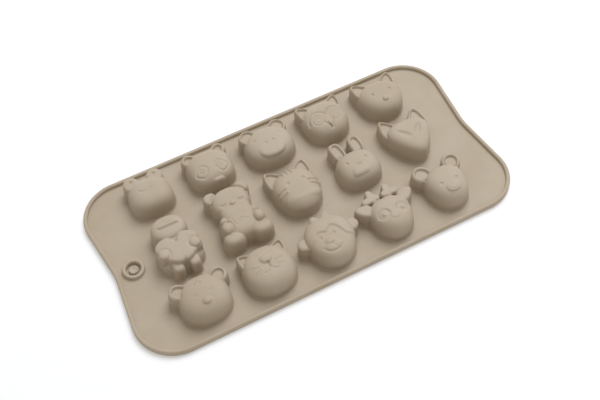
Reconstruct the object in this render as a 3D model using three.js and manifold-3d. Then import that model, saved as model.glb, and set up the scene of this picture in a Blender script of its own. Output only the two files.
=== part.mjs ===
// Silicone chocolate mould, lying with its fill face down: a thin sheet with a rounded rim, a ring boss
// at one end and fifteen hollow animal cups, whose cavities open through the sheet at the fill face.
// Units are millimetres and degrees. +X runs along the length, +Y across it and +Z up, away from the
// fill face. The origin is the middle of the fill face.

import * as THREE from 'three';
import { mergeVertices } from 'three/addons/utils/BufferGeometryUtils.js';
import Module from 'manifold-3d';

const wasm = await Module();
wasm.setup();

// Sheet and rim
const WEB = 1.5; // thickness of the sheet between the cups
const WALL = 1.4; // thickness of a cup's wall and crown
const CUP_GAP_ALONG = 1.7; // least clear web between two cups side by side in a row
const CUP_GAP_ACROSS = 3.5; // least clear web between the cups of two rows
const SIDE_LAND = 3; // clear web between the outer rows and the rim
const END_LAND = 19.5; // clear web between the end columns and the rim
const CORNER_RADIUS = 22; // big round corners of the sheet
const WAIST_RADIUS = 36; // hollow in the middle of each end
const WAIST_SLANT = 6; // the end's edge leans in by this much between a corner and the hollow
const RIM_WIDTH = 2.2; // bead round the edge
const RIM_RISE = 1.8; // how far the bead stands above the sheet
const RIM_CROWN = 0.55; // share of that rise that is rounded over

// Ring boss
const RING_INSET = 13.5; // from the sheet's end to the middle of the ring
const RING_DIAMETER = 11.8;
const RING_BORE = 7.2; // the shallow well inside the ring
const RING_RISE = 2;
const RING_FLOOR = 0.3; // floor of the well above the sheet
const BUTTON_DIAMETER = 4; // small button in the middle of the well
const BUTTON_RISE = 1.1;

// Cups
const FACE_TOP = 13.5; // crown of a face above the fill face
const EAR_RIM = 1.3; // width of the lip round the well of an ear
const EAR_WELL = 1.8; // depth of the well in an ear
const EAR_OPENING = 3; // how far the well runs on towards the head, so that the head closes it
const LOBE_ROUND = 3.4; // how full a shoulder is: 2 is an ellipsoid, more is squarer
const EAR_ROUND = 7; // the same for ears, which have flat tops
const PLATEAU_ROUND = 6; // and for broad muzzles and patches
const FEATURE_DEPTH = 5; // how far a nose or muzzle reaches down into its face
const THROAT = 3.6; // how far an ear's hollow runs on into its head, so that the two fill as one
const LEAST_HOLLOW = 1; // a limb whose hollow would be narrower than twice this is solid

// Facets
const FACE_SIDES = 16;
const FACE_RINGS = 4;
const LIMB_SIDES = 10;
const LIMB_RINGS = 3;
const FEATURE_SIDES = 10;
const FEATURE_RINGS = 2;
const CORNER_STEPS = 6;
const WAIST_STEPS = 4;
const RIM_STEPS = 4;
const RING_SIDES = 18;
const REACH_SIDES = 72; // points on an outline when a figure's reach is measured
const THROUGH = 1; // how far a cutter runs past the face that it opens

const SILICONE = { color: 0xb9ac98, roughness: 0.62, metalness: 0 };

// One lobe of a figure. Seen from above it is an egg: half-widths rx and ry, square is 2 for an ellipse
// and more for a boxier outline, taper narrows it towards its own +y end, and turn turns it. From the
// side it is a dome that reaches up to top from foot, and round says how full its shoulder is.
const lobe = (sizes) => ({
  x: 0, y: 0, square: 2.2, taper: 0, turn: 0, foot: WEB, top: FACE_TOP, throat: 0,
  round: LOBE_ROUND, sides: LIMB_SIDES, rings: LIMB_RINGS, ...sizes,
});

const face = (sizes) => lobe({ sides: FACE_SIDES, rings: FACE_RINGS, ...sizes });

// A lobe and its mirror image on the other side of the figure
const pair = (sizes) => {
  const right = lobe(sizes);
  return [right, { ...right, x: -right.x, turn: -right.turn }];
};

// Two ears on a head, placed by how far they sit in from its side and down from its top. They point
// away from the middle of the head unless turn says otherwise, and their hollows run on into it.
const ears = (head, { fromSide, fromTop, ...sizes }) => {
  const x = head.rx - fromSide;
  const y = head.ry - fromTop;
  const turn = -THREE.MathUtils.radToDeg(Math.atan2(x, y));
  return pair({ x: head.x + x, y: head.y + y, turn, throat: THROAT, round: EAR_ROUND, ...sizes });
};

// Height of a head's dome over a point of its plan, with the plan's taper left out
const heightOn = (head, x, y) => {
  const across = Math.abs(x - head.x) / head.rx;
  const along = Math.abs(y - head.y) / head.ry;
  const reach = (across ** head.square + along ** head.square) ** (1 / head.square);
  return head.foot + (head.top - head.foot) * (1 - reach ** head.round) ** (1 / head.round);
};

// A nose, muzzle or patch that stands on a face by its rise
const feature = (head, { rise, ...sizes }) => {
  const top = heightOn(head, sizes.x ?? 0, sizes.y) + rise;
  const facets = { sides: FEATURE_SIDES, rings: FEATURE_RINGS };
  return lobe({ top, foot: top - FEATURE_DEPTH, ...facets, ...sizes });
};

// The figures. Each is drawn about the middle of its cell: lobes are hollow, welled are ears with a
// well in their tops, and solid are reliefs on the face.

const frog = () => {
  const head = face({ y: -0.7, rx: 10.8, ry: 10.3, square: 3.1, round: 4.2 });
  const eyes = ears(head, { fromSide: 4, fromTop: 0.4, rx: 4.7, ry: 4.7, top: 11.8 });
  return { lobes: [head, ...eyes] };
};

const panda = () => {
  const head = face({ y: -0.5, rx: 12.8, ry: 11.3, square: 2.8, round: 3.8 });
  const welled = ears(head, { fromSide: 4.2, fromTop: 2.6, rx: 4.3, ry: 4.3, top: 11.2 });
  const eyePatch = { x: 5.5, y: -4, rx: 2.9, ry: 3.7, square: 2.8, round: PLATEAU_ROUND };
  const patch = feature(head, { ...eyePatch, rise: 0.2 });
  const nose = feature(head, { y: -9.8, rx: 4, ry: 2.3, square: 2.8, rise: 0.9 });
  return { lobes: [head], welled, solid: [...pair({ ...patch, turn: 36 }), nose] };
};

const hippo = () => {
  const head = face({ y: -1.6, rx: 14.2, ry: 11.9, square: 2.3 });
  const welled = ears(head, { fromSide: 5.1, fromTop: 2.9, rx: 5.2, ry: 4.7, top: 11 });
  const muzzle = feature(head, { y: -5, rx: 8.8, ry: 7, rise: 0.2, round: PLATEAU_ROUND });
  return { lobes: [head, muzzle], welled };
};

const owl = () => {
  const head = face({ y: -1.3, rx: 13.2, ry: 12.5, square: 2.4, taper: -0.1 });
  const welled = ears(head, {
    fromSide: 4.6, fromTop: 5, rx: 4.6, ry: 6.6, taper: 0.45, turn: -30, top: 10,
  });
  const discs = pair(feature(head, { x: 5.1, y: -3.1, rx: 4.1, ry: 4.1, rise: 0.2, round: PLATEAU_ROUND }));
  const beak = feature(head, { y: -7.6, rx: 1.3, ry: 2.9, taper: -0.35, rise: 0.7 });
  return { lobes: [head], welled, solid: [...discs, beak] };
};

const kitten = () => {
  const head = face({ y: -2.6, rx: 13, ry: 11.9, taper: -0.16 });
  const welled = ears(head, {
    fromSide: 4.1, fromTop: 2.8, rx: 4.6, ry: 6.4, taper: 0.45, turn: -28, top: 9.8,
  });
  const nose = feature(head, { y: -7.2, rx: 2.3, ry: 2, rise: 0.9 });
  return { lobes: [head], welled, solid: [nose] };
};

const heartFrog = () => {
  const head = face({ y: 9.6, rx: 9.8, ry: 7.4, top: 13.2, round: 5 });
  const body = face({ y: -5.4, rx: 12, ry: 9.4, square: 2.6, top: 10.6 });
  const neck = lobe({ y: 3.4, rx: 7.4, ry: 4.4, top: 10.2 });
  const heart = pair({
    x: 4.3, y: -5.6, rx: 5.9, ry: 9, taper: -0.2, turn: -27, round: 9,
    foot: FACE_TOP - 2 * FEATURE_DEPTH, top: 12.8, sides: FEATURE_SIDES,
  });
  const hands = pair({ x: 8.8, y: -6.7, rx: 3.6, ry: 3.6, foot: 8, top: 14.5, round: 2.4 });
  const legs = pair({ x: 4.4, y: -13.4, rx: 3.2, ry: 5, square: 3, top: 10.8, round: 5 });
  return { lobes: [head, body, neck, ...heart, ...legs], solid: hands };
};

const sittingBear = () => {
  const head = face({ y: 8.9, rx: 10.8, ry: 8.7, square: 2.4, round: 4 });
  const body = face({ y: -6.2, rx: 10.4, ry: 9.8, square: 2.4, top: 13.4, round: 4 });
  const neck = lobe({ y: 1.4, rx: 9, ry: 8, square: 3, top: 13.4, round: 5 });
  const roundEars = ears(head, { fromSide: 1.3, fromTop: 3.5, rx: 3.8, ry: 3.8, top: 11.2, round: 4.6 });
  const arms = pair({ x: 8.3, y: -2.4, rx: 2.9, ry: 3.8, turn: 14, top: 12.2, round: 2.8 });
  const hands = pair({ x: 8.4, y: -7.2, rx: 3.6, ry: 4.1, foot: 7, top: 14.5, round: 2.4 });
  const legs = pair({ x: 8, y: -13, rx: 5.9, ry: 5.4, top: 12.4, round: 2.6 });
  const nose = feature(head, { y: 5.3, rx: 1.6, ry: 1.2, rise: 0.7 });
  return { lobes: [head, body, neck, ...roundEars, ...arms, ...legs], solid: [...hands, nose] };
};

const tiger = () => {
  const head = face({ y: -0.7, rx: 13.4, ry: 13.8, taper: -0.1 });
  const welled = ears(head, {
    fromSide: 4.9, fromTop: 3.4, rx: 5.3, ry: 6.9, taper: 0.5, turn: -24, top: 10,
  });
  const muzzle = feature(head, { y: -7.4, rx: 10.4, ry: 6.4, rise: 0.6 });
  return { lobes: [head], welled, solid: [muzzle] };
};

const rabbit = () => {
  const head = face({ y: -3.2, rx: 12.2, ry: 10.8, square: 2.5 });
  const welled = ears(head, {
    fromSide: 6.5, fromTop: -2.6, rx: 4, ry: 6.4, square: 2.8, turn: -3, top: 10.8,
  });
  const muzzle = feature(head, { y: -7.4, rx: 5.6, ry: 3.9, square: 3, rise: 0.35 });
  return { lobes: [head], welled, solid: [muzzle] };
};

const fox = () => {
  const head = face({ y: -0.4, rx: 11.4, ry: 12.4, taper: -0.46, round: 4.6 });
  const welled = ears(head, {
    fromSide: 2.4, fromTop: 2.2, rx: 4.9, ry: 7.4, taper: 0.5, turn: -14, top: 10,
  });
  return { lobes: [head], welled };
};

const bearCub = () => {
  const head = face({ rx: 13.3, ry: 12.6, square: 2.4 });
  const welled = ears(head, { fromSide: 2.4, fromTop: 5.4, rx: 5, ry: 5, top: 11.4 });
  const nose = feature(head, { y: -5, rx: 2.9, ry: 2.4, rise: 1 });
  return { lobes: [head], welled, solid: [nose] };
};

const cat = () => {
  const head = face({ y: -0.7, rx: 13.9, ry: 13.4 });
  const welled = ears(head, {
    fromSide: 5.2, fromTop: 5.6, rx: 4.9, ry: 5.9, taper: 0.5, turn: -34, top: 10.4,
  });
  const nose = feature(head, { y: 1.8, rx: 3.9, ry: 2.8, taper: -0.25, rise: 0.9 });
  return { lobes: [head], welled, solid: [nose] };
};

const monkey = () => {
  const head = face({ y: -1.2, rx: 12.8, ry: 13.6, taper: -0.1 });
  const sideEars = ears(head, { fromSide: -0.3, fromTop: 10.7, rx: 3.4, ry: 4, top: 9.8 });
  const tufts = ears(head, {
    fromSide: 9.6, fromTop: 1.2, rx: 2.9, ry: 3, taper: 0.45, turn: -14, top: 11.8, round: 5,
  });
  const muzzle = feature(head, { y: -5.6, rx: 6.2, ry: 4.4, rise: 0.4 });
  return { lobes: [head, ...sideEars, ...tufts], solid: [muzzle] };
};

const deer = () => {
  const head = face({ y: -3.1, rx: 11.5, ry: 11.7, taper: -0.16 });
  const leaves = ears(head, {
    fromSide: 0.1, fromTop: 2.9, rx: 3.5, ry: 5.2, taper: 0.3, turn: -62, top: 10.2,
  });
  const stems = ears(head, { fromSide: 6.7, fromTop: -3, rx: 2.4, ry: 4.5, turn: -4, top: 10.4 });
  const outerTines = ears(head, { fromSide: 4.2, fromTop: -1.3, rx: 2.2, ry: 3.6, turn: -97, top: 10.4 });
  const innerTines = ears(head, { fromSide: 8.7, fromTop: -1.4, rx: 2, ry: 2.2, turn: 80, top: 10.4 });
  return { lobes: [head, ...leaves, ...stems, ...outerTines, ...innerTines] };
};

const koala = () => {
  const head = face({ y: -0.6, rx: 11.4, ry: 12.3, square: 2.3, taper: -0.16 });
  const welled = ears(head, { fromSide: 2.2, fromTop: 0.9, rx: 5.3, ry: 5.3, top: 10.4 });
  const nose = feature(head, { y: -5.2, rx: 4, ry: 3.3, rise: 0.8, round: PLATEAU_ROUND });
  return { lobes: [head], welled, solid: [nose] };
};

// Rows from the far side to the near one, each from the ring's end to the other
const ROWS = [
  { cup_frog: frog(), cup_panda: panda(), cup_hippo: hippo(), cup_owl: owl(), cup_kitten: kitten() },
  {
    cup_heart_frog: heartFrog(), cup_sitting_bear: sittingBear(), cup_tiger: tiger(),
    cup_rabbit: rabbit(), cup_fox: fox(),
  },
  {
    cup_bear_cub: bearCub(), cup_cat: cat(), cup_monkey: monkey(), cup_deer: deer(),
    cup_koala: koala(),
  },
];

// A point of a lobe's outline, drawn in by inset all round and then shrunk about its middle
function outlinePoint(shape, angle, inset, shrink, z) {
  const power = 2 / shape.square;
  const u = Math.sign(Math.cos(angle)) * Math.abs(Math.cos(angle)) ** power;
  const v = Math.sign(Math.sin(angle)) * Math.abs(Math.sin(angle)) ** power;
  const across = (shape.rx - inset) * u * (1 - shape.taper * v) * shrink;
  const along = (shape.ry - inset) * v * shrink;
  const turned = new THREE.Vector2(across, along)
    .rotateAround(new THREE.Vector2(), THREE.MathUtils.degToRad(shape.turn));
  return new THREE.Vector3(shape.x + turned.x, shape.y + turned.y, z);
}

function outlineRing(shape, inset, shrink, z) {
  const ring = [];
  for (let side = 0; side < shape.sides; side += 1) {
    ring.push(outlinePoint(shape, (side / shape.sides) * 2 * Math.PI, inset, shrink, z));
  }
  return ring;
}

// Turns indexed corners into a solid
function solidFrom(corners, triangles) {
  const flat = corners.flatMap((corner) => corner.toArray());
  return new wasm.Manifold(new wasm.Mesh({
    numProp: 3,
    vertProperties: new Float32Array(flat),
    triVerts: new Uint32Array(triangles),
  }));
}

function solidFromGeometry(geometry) {
  geometry.deleteAttribute('normal');
  geometry.deleteAttribute('uv');
  const merged = mergeVertices(geometry, 1e-4);
  return new wasm.Manifold(new wasm.Mesh({
    numProp: 3,
    vertProperties: merged.attributes.position.array,
    triVerts: new Uint32Array(merged.index.array),
  }));
}

// Skins a stack of rings, from the lowest up, and closes both ends to a point in their middle
function loft(rings, foot, crown) {
  const sides = rings[0].length;
  const corners = [...rings.flat(), foot, crown];
  const footIndex = corners.length - 2;
  const crownIndex = corners.length - 1;
  const lastRing = (rings.length - 1) * sides;
  const triangles = [];
  for (let side = 0; side < sides; side += 1) {
    const next = (side + 1) % sides;
    triangles.push(footIndex, next, side);
    triangles.push(crownIndex, lastRing + side, lastRing + next);
    for (let low = 0; low < lastRing; low += sides) {
      const high = low + sides;
      triangles.push(low + side, low + next, high + next);
      triangles.push(low + side, high + next, high + side);
    }
  }
  return solidFrom(corners, triangles);
}

// A lobe's dome, drawn in by inset all round and at its crown, with its foot run straight down by sink
function dome(shape, inset = 0, sink = 0) {
  const rise = shape.top - inset - shape.foot;
  const rings = sink > 0 ? [outlineRing(shape, inset, 1, shape.foot - sink)] : [];
  const count = inset > 0 ? shape.rings - 1 : shape.rings;
  for (let ring = 0; ring < count; ring += 1) {
    const lean = (ring / count) * (Math.PI / 2);
    const shrink = Math.cos(lean) ** (2 / shape.round);
    const height = Math.sin(lean) ** (2 / shape.round);
    rings.push(outlineRing(shape, inset, shrink, shape.foot + rise * height));
  }
  const foot = new THREE.Vector3(shape.x, shape.y, shape.foot - sink);
  const crown = new THREE.Vector3(shape.x, shape.y, shape.foot + rise);
  return loft(rings, foot, crown);
}

// A lobe whose inner end is carried on by run, along its own length
const carriedOn = (shape, run) => {
  const turn = THREE.MathUtils.degToRad(shape.turn);
  return {
    ...shape,
    x: shape.x + (run / 2) * Math.sin(turn),
    y: shape.y - (run / 2) * Math.cos(turn),
    ry: shape.ry + run / 2,
  };
};

// An ear with a shallow well in its top, open towards the head
function welledEar(ear) {
  const well = carriedOn(ear, EAR_OPENING);
  const floor = ear.top - EAR_WELL;
  const rings = [outlineRing(well, EAR_RIM, 1, floor), outlineRing(well, EAR_RIM, 1, ear.top + THROUGH)];
  const low = new THREE.Vector3(well.x, well.y, floor);
  const high = new THREE.Vector3(well.x, well.y, ear.top + THROUGH);
  return dome(ear).subtract(loft(rings, low, high));
}

const unite = (solids) => solids.reduce((sum, solid) => sum.add(solid));

const isHollow = (shape) => Math.min(shape.rx, shape.ry) - WALL >= LEAST_HOLLOW;

// The outside of a figure, standing on the sheet
function figureSkin({ lobes, welled = [], solid = [] }) {
  const plain = [...lobes, ...solid].map((shape) => dome(shape));
  return unite([...plain, ...welled.map(welledEar)]);
}

// The space inside a figure, run down through the sheet so that it also cuts the filling mouth
function figureCavity({ lobes, welled = [] }) {
  const deepened = welled.map((ear) => ({ ...ear, top: ear.top - EAR_WELL }));
  const hollows = [...lobes, ...deepened].filter(isHollow).map((shape) => carriedOn(shape, shape.throat));
  return unite(hollows.map((shape) => dome(shape, WALL, shape.foot === WEB ? WEB + THROUGH : 0)));
}

// How far a figure reaches from the middle of its cell to each side
function reach({ lobes, welled = [] }) {
  const box = new THREE.Box3();
  for (const shape of [...lobes, ...welled]) {
    const outline = outlineRing({ ...shape, sides: REACH_SIDES }, 0, 1, 0);
    box.union(new THREE.Box3().setFromPoints(outline));
  }
  return { left: -box.min.x, right: box.max.x, near: -box.min.y, far: box.max.y };
}

// The cells are as close as the figures that come nearest to each other allow
const REACHES = ROWS.map((row) => Object.values(row).map(reach));
const COLUMNS = REACHES[0].length;
const beside = REACHES.flatMap((row) => row.slice(1).map((cup, i) => row[i].right + cup.left));
const behind = REACHES.slice(1).flatMap((row, r) => row.map((cup, i) => REACHES[r][i].near + cup.far));
const COLUMN_PITCH = Math.max(...beside) + CUP_GAP_ALONG;
const ROW_PITCH = Math.max(...behind) + CUP_GAP_ACROSS;
const endReach = Math.max(...REACHES.flatMap((row) => [row[0].left, row.at(-1).right]));
const sideReach = Math.max(...REACHES[0].map((cup) => cup.far), ...REACHES.at(-1).map((cup) => cup.near));
const HALF_LENGTH = (COLUMN_PITCH * (COLUMNS - 1)) / 2 + endReach + END_LAND + RIM_WIDTH;
const HALF_WIDTH = (ROW_PITCH * (ROWS.length - 1)) / 2 + sideReach + SIDE_LAND + RIM_WIDTH;

// The sheet's outline, drawn in by inset: big corner arcs, ends that lean in, and a hollow in each end
function sheetOutline(inset) {
  const slant = THREE.MathUtils.degToRad(WAIST_SLANT);
  const cornerX = HALF_LENGTH - CORNER_RADIUS;
  const cornerY = HALF_WIDTH - CORNER_RADIUS;
  const radii = CORNER_RADIUS + WAIST_RADIUS;
  const run = (cornerY - radii * Math.sin(slant)) / Math.cos(slant);
  const waistX = cornerX + radii * Math.cos(slant) - run * Math.sin(slant);
  const upper = [];
  for (let step = 0; step <= CORNER_STEPS; step += 1) {
    const angle = Math.PI / 2 - (step / CORNER_STEPS) * (Math.PI / 2 + slant);
    const radius = CORNER_RADIUS - inset;
    upper.push(new THREE.Vector2(cornerX + radius * Math.cos(angle), cornerY + radius * Math.sin(angle)));
  }
  for (let step = 0; step < WAIST_STEPS / 2; step += 1) {
    const angle = Math.PI - slant * (1 - step / (WAIST_STEPS / 2));
    const radius = WAIST_RADIUS + inset;
    upper.push(new THREE.Vector2(waistX + radius * Math.cos(angle), radius * Math.sin(angle)));
  }
  const lower = upper.toReversed().map((point) => new THREE.Vector2(point.x, -point.y));
  const middle = new THREE.Vector2(waistX - WAIST_RADIUS - inset, 0);
  const rightEnd = [...upper, middle, ...lower];
  const leftEnd = rightEnd.map((point) => new THREE.Vector2(-point.x, -point.y));
  return [...rightEnd, ...leftEnd].toReversed();
}

// The sheet with the filling mouths cut through it
function webSheet(cavities) {
  const outline = new THREE.Shape(sheetOutline(0));
  const plate = new THREE.ExtrudeGeometry(outline, { depth: WEB, bevelEnabled: false });
  return solidFromGeometry(plate).subtract(unite(cavities));
}

// The bead round the edge: a half-round section carried round the sheet's outline
function rimBead() {
  const radius = RIM_WIDTH / 2;
  const crown = RIM_RISE * RIM_CROWN;
  const section = [[0, 0]];
  for (let step = 0; step <= RIM_STEPS; step += 1) {
    const angle = Math.PI * (1 - step / RIM_STEPS);
    const rise = RIM_RISE - crown + crown * Math.sin(angle);
    section.push([radius + radius * Math.cos(angle), rise]);
  }
  section.push([RIM_WIDTH, 0]);
  const rings = section.map(([inset, rise]) => sheetOutline(inset)
    .map((point) => new THREE.Vector3(point.x, point.y, WEB + rise)));
  const sides = rings[0].length;
  const triangles = [];
  rings.forEach((ring, index) => {
    const low = index * sides;
    const high = ((index + 1) % rings.length) * sides;
    for (let side = 0; side < sides; side += 1) {
      const next = (side + 1) % sides;
      triangles.push(low + side, low + next, high + next);
      triangles.push(low + side, high + next, high + side);
    }
  });
  return solidFrom(rings.flat(), triangles);
}

// The ring boss: a rounded ring round a shallow well with a small button in its middle
function hangRing() {
  const outer = RING_DIAMETER / 2;
  const inner = RING_BORE / 2;
  const button = BUTTON_DIAMETER / 2;
  const shoulder = (outer - inner) / 4;
  const profile = [
    [0, 0], [outer, 0], [outer, RING_RISE - shoulder], [outer - shoulder, RING_RISE],
    [inner + shoulder, RING_RISE], [inner, RING_RISE - shoulder], [inner, RING_FLOOR],
    [button, RING_FLOOR], [button, BUTTON_RISE], [0, BUTTON_RISE],
  ].map(([x, y]) => new THREE.Vector2(x, y));
  const geometry = new THREE.LatheGeometry(profile, RING_SIDES);
  geometry.rotateX(Math.PI / 2);
  geometry.translate(RING_INSET - HALF_LENGTH, 0, WEB);
  return solidFromGeometry(geometry);
}

function meshOf(name, solid) {
  const { vertProperties, triVerts } = solid.getMesh();
  const geometry = new THREE.BufferGeometry();
  geometry.setAttribute('position', new THREE.BufferAttribute(vertProperties, 3));
  geometry.setIndex(new THREE.BufferAttribute(triVerts, 1));
  const mesh = new THREE.Mesh(geometry, new THREE.MeshStandardMaterial(SILICONE));
  mesh.name = name;
  return mesh;
}

const mould = new THREE.Group();
const cavities = [];
ROWS.forEach((row, r) => {
  Object.entries(row).forEach(([name, figure], c) => {
    const place = [(c - (COLUMNS - 1) / 2) * COLUMN_PITCH, ((ROWS.length - 1) / 2 - r) * ROW_PITCH, 0];
    const cavity = figureCavity(figure);
    cavities.push(cavity.translate(place));
    mould.add(meshOf(name, figureSkin(figure).subtract(cavity).translate(place)));
  });
});
mould.add(meshOf('web_sheet', webSheet(cavities)));
mould.add(meshOf('rim_bead', rimBead()));
mould.add(meshOf('hang_ring', hangRing()));

export default mould;
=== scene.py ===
"""Looks of a silicone chocolate mould that lies with its fill face down.

The mould is one soft casting: a thin web with a rounded rim bead, a ring boss at one end and fifteen
hollow animal cups. Sizes in this file are millimetres about the middle of a cup's cell or of the mould,
with +X along the mould, +Y away from the viewer and +Z up. Finished meshes, the floor and the lamp are in
metres.
"""

import logging
import math
from dataclasses import asdict, dataclass, field, replace
from enum import Enum

import bmesh
import bpy
import numpy as np
from mathutils import Matrix, Vector

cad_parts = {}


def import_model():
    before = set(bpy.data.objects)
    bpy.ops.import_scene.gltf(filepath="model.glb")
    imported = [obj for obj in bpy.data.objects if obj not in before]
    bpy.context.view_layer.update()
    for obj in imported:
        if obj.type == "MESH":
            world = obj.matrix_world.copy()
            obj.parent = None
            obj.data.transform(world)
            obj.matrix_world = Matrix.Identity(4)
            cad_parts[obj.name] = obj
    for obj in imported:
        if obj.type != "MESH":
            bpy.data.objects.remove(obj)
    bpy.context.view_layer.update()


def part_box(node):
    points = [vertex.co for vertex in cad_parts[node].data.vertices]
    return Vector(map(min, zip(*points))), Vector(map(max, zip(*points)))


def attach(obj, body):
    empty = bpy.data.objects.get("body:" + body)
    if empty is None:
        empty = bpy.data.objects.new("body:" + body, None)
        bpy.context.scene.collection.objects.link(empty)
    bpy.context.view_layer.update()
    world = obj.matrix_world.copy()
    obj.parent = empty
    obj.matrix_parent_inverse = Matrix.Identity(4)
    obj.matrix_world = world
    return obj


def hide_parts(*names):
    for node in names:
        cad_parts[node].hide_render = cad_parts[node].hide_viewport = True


LOG = logging.getLogger("mould")

MM = 0.001
WEB = 1.5  # thickness of the sheet between the cups
WALL = 1.4  # thickness of a cup's wall and crown
FACE_TOP = 13.5  # crown of a face above the fill face
LOBE_ROUND = 3.4  # fullness of a shoulder: 2 is an ellipsoid, more is squarer
EAR_ROUND = 7.0  # ears have flat tops with a small edge radius
PLATEAU_ROUND = 6.0  # so have a broad muzzle and nose
EAR_WELL = 1.8  # depth of the well in an ear
EAR_OPENING = 3.0  # how far that well runs on towards the head, which closes it
EAR_RIM = 1.4  # width of the lip round the well
ROUND_EAR_RIM = 1.9  # width of the lip on round and looped ears
THROAT = 3.6  # how far an ear's hollow runs on into its head
FEATURE_DEPTH = 5.0  # how far a nose or muzzle reaches down into its face
LEAST_HOLLOW = 1.0  # a limb with a hollow narrower than twice this is solid
CARVE_BLUR = 2  # rounds of evening that keep carved edges free of steps
CARVED_LEAN = (0.05, 0.45)  # upward share of a skin's normal over which carving takes hold
SOFTENING = 0.5  # how far a round of smoothing draws a corner to its neighbours
CUT_GAP = 1e-5  # corners this close to a cut lie on it
MERGE_GAP = 1e-4  # corners closer than this become one
CRISP_ANGLE = 50.0  # an edge that turns by more degrees can stay crisp
COLUMNS_OUT = 2  # columns of cups on each side of the middle one
WHITE = (1.0, 1.0, 1.0, 1.0)

Point = tuple[float, float]


def linear(hex_code: str) -> tuple[float, float, float, float]:
    """Turns an sRGB hex colour into linear RGBA.

    Args:
        hex_code: Six hex digits after a hash.

    Returns:
        The linear colour with full alpha.
    """
    channels = [int(hex_code[start:start + 2], 16) / 255 for start in (1, 3, 5)]
    low_end = [value / 12.92 for value in channels]
    curve = [((value + 0.055) / 1.055) ** 2.4 for value in channels]
    red, green, blue = (low if value <= 0.04045 else high
                        for value, low, high in zip(channels, low_end, curve))
    return red, green, blue, 1.0


def soft_step(value: np.ndarray, low: float, high: float) -> np.ndarray:
    """Eases values from 0 at low to 1 at high.

    Args:
        value: The values.
        low: Where the step starts.
        high: Where the step ends.

    Returns:
        The eased values.
    """
    share = np.clip((value - low) / (high - low), 0.0, 1.0)
    return share * share * (3.0 - 2.0 * share)


def vertex_places(mesh: bpy.types.Mesh) -> np.ndarray:
    """Reads where a mesh's corners are.

    Args:
        mesh: The mesh.

    Returns:
        The corners, one a row.
    """
    places = np.empty(3 * len(mesh.vertices))
    mesh.vertices.foreach_get("co", places)
    return places.reshape(-1, 3)


def finished(shape: bmesh.types.BMesh, name: str) -> bpy.types.Mesh:
    """Turns a shape into a mesh.

    Args:
        shape: The shape, which is freed.
        name: Name of the mesh.

    Returns:
        The mesh.
    """
    mesh = bpy.data.meshes.new(name)
    shape.to_mesh(mesh)
    shape.free()
    return mesh


def add_object(name: str, data: bpy.types.ID) -> bpy.types.Object:
    """Adds an object to the scene.

    Args:
        name: Its name.
        data: Its mesh, light or camera.

    Returns:
        The object.
    """
    added = bpy.data.objects.new(name, data)
    bpy.context.scene.collection.objects.link(added)
    return added


def unit_ball(sides: int = 72, rings: int = 40) -> bpy.types.Mesh:
    """Makes the ball of radius 1 that every lobe is shaped from.

    Args:
        sides: Faces round it.
        rings: Faces from pole to pole.

    Returns:
        The ball's mesh.
    """
    shape = bmesh.new()
    bmesh.ops.create_uvsphere(shape, u_segments=sides, v_segments=rings, radius=1.0)
    return finished(shape, "ball")


class Row(Enum):
    """The three rows of cups, as steps of the row pitch from the middle."""

    FAR = 1
    MIDDLE = 0
    NEAR = -1


@dataclass(frozen=True)
class Egg:
    """An egg-shaped plan about the middle of a cell.

    Attributes:
        rx: Half-width across.
        ry: Half-width along.
        x: Place across.
        y: Place along.
        square: 2 for an ellipse, more for a boxier outline.
        taper: How much the plan narrows towards its own +Y end.
        turn: Turn to the left, in degrees.
    """

    rx: float
    ry: float
    x: float = 0.0
    y: float = 0.0
    square: float = 2.2
    taper: float = 0.0
    turn: float = 0.0

    def mirrored(self) -> "Egg":
        """Returns the same plan on the other side of the figure."""
        return replace(self, x=-self.x, turn=-self.turn)

    def place(self, across: np.ndarray, along: np.ndarray) -> tuple[np.ndarray, np.ndarray]:
        """Finds points of the plan from its own axes.

        Args:
            across: Shares of the half-width across, before the taper.
            along: Shares of the half-width along.

        Returns:
            Their places across and along the cell.
        """
        turn = math.radians(self.turn)
        side = self.rx * across * (1.0 - self.taper * along)
        length = self.ry * along
        return (self.x + side * math.cos(turn) - length * math.sin(turn),
                self.y + side * math.sin(turn) + length * math.cos(turn))

    def spread(self, plan: np.ndarray) -> np.ndarray:
        """Measures how far out points lie in the plan.

        Args:
            plan: Points, one a row.

        Returns:
            0 in the middle, 1 on the outline and more outside it.
        """
        turn = math.radians(self.turn)
        dx = plan[:, 0] - self.x
        dy = plan[:, 1] - self.y
        along = (dy * math.cos(turn) - dx * math.sin(turn)) / self.ry
        width = self.rx * np.maximum(1.0 - self.taper * np.clip(along, -1.0, 1.0), 0.1)
        across = (dx * math.cos(turn) + dy * math.sin(turn)) / width
        power = self.square
        return (np.abs(across) ** power + np.abs(along) ** power) ** (1.0 / power)

    def outline(self, steps: int = 12) -> tuple[Point, ...]:
        """Draws the outline.

        Args:
            steps: How many points it has.

        Returns:
            The points, to the left all round.
        """
        angles = np.linspace(0.0, 2.0 * math.pi, steps, endpoint=False)
        unit = np.stack([np.cos(angles), np.sin(angles)])
        across, along = np.copysign(np.abs(unit) ** (2.0 / self.square), unit)
        return tuple(zip(*self.place(across, along)))


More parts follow.
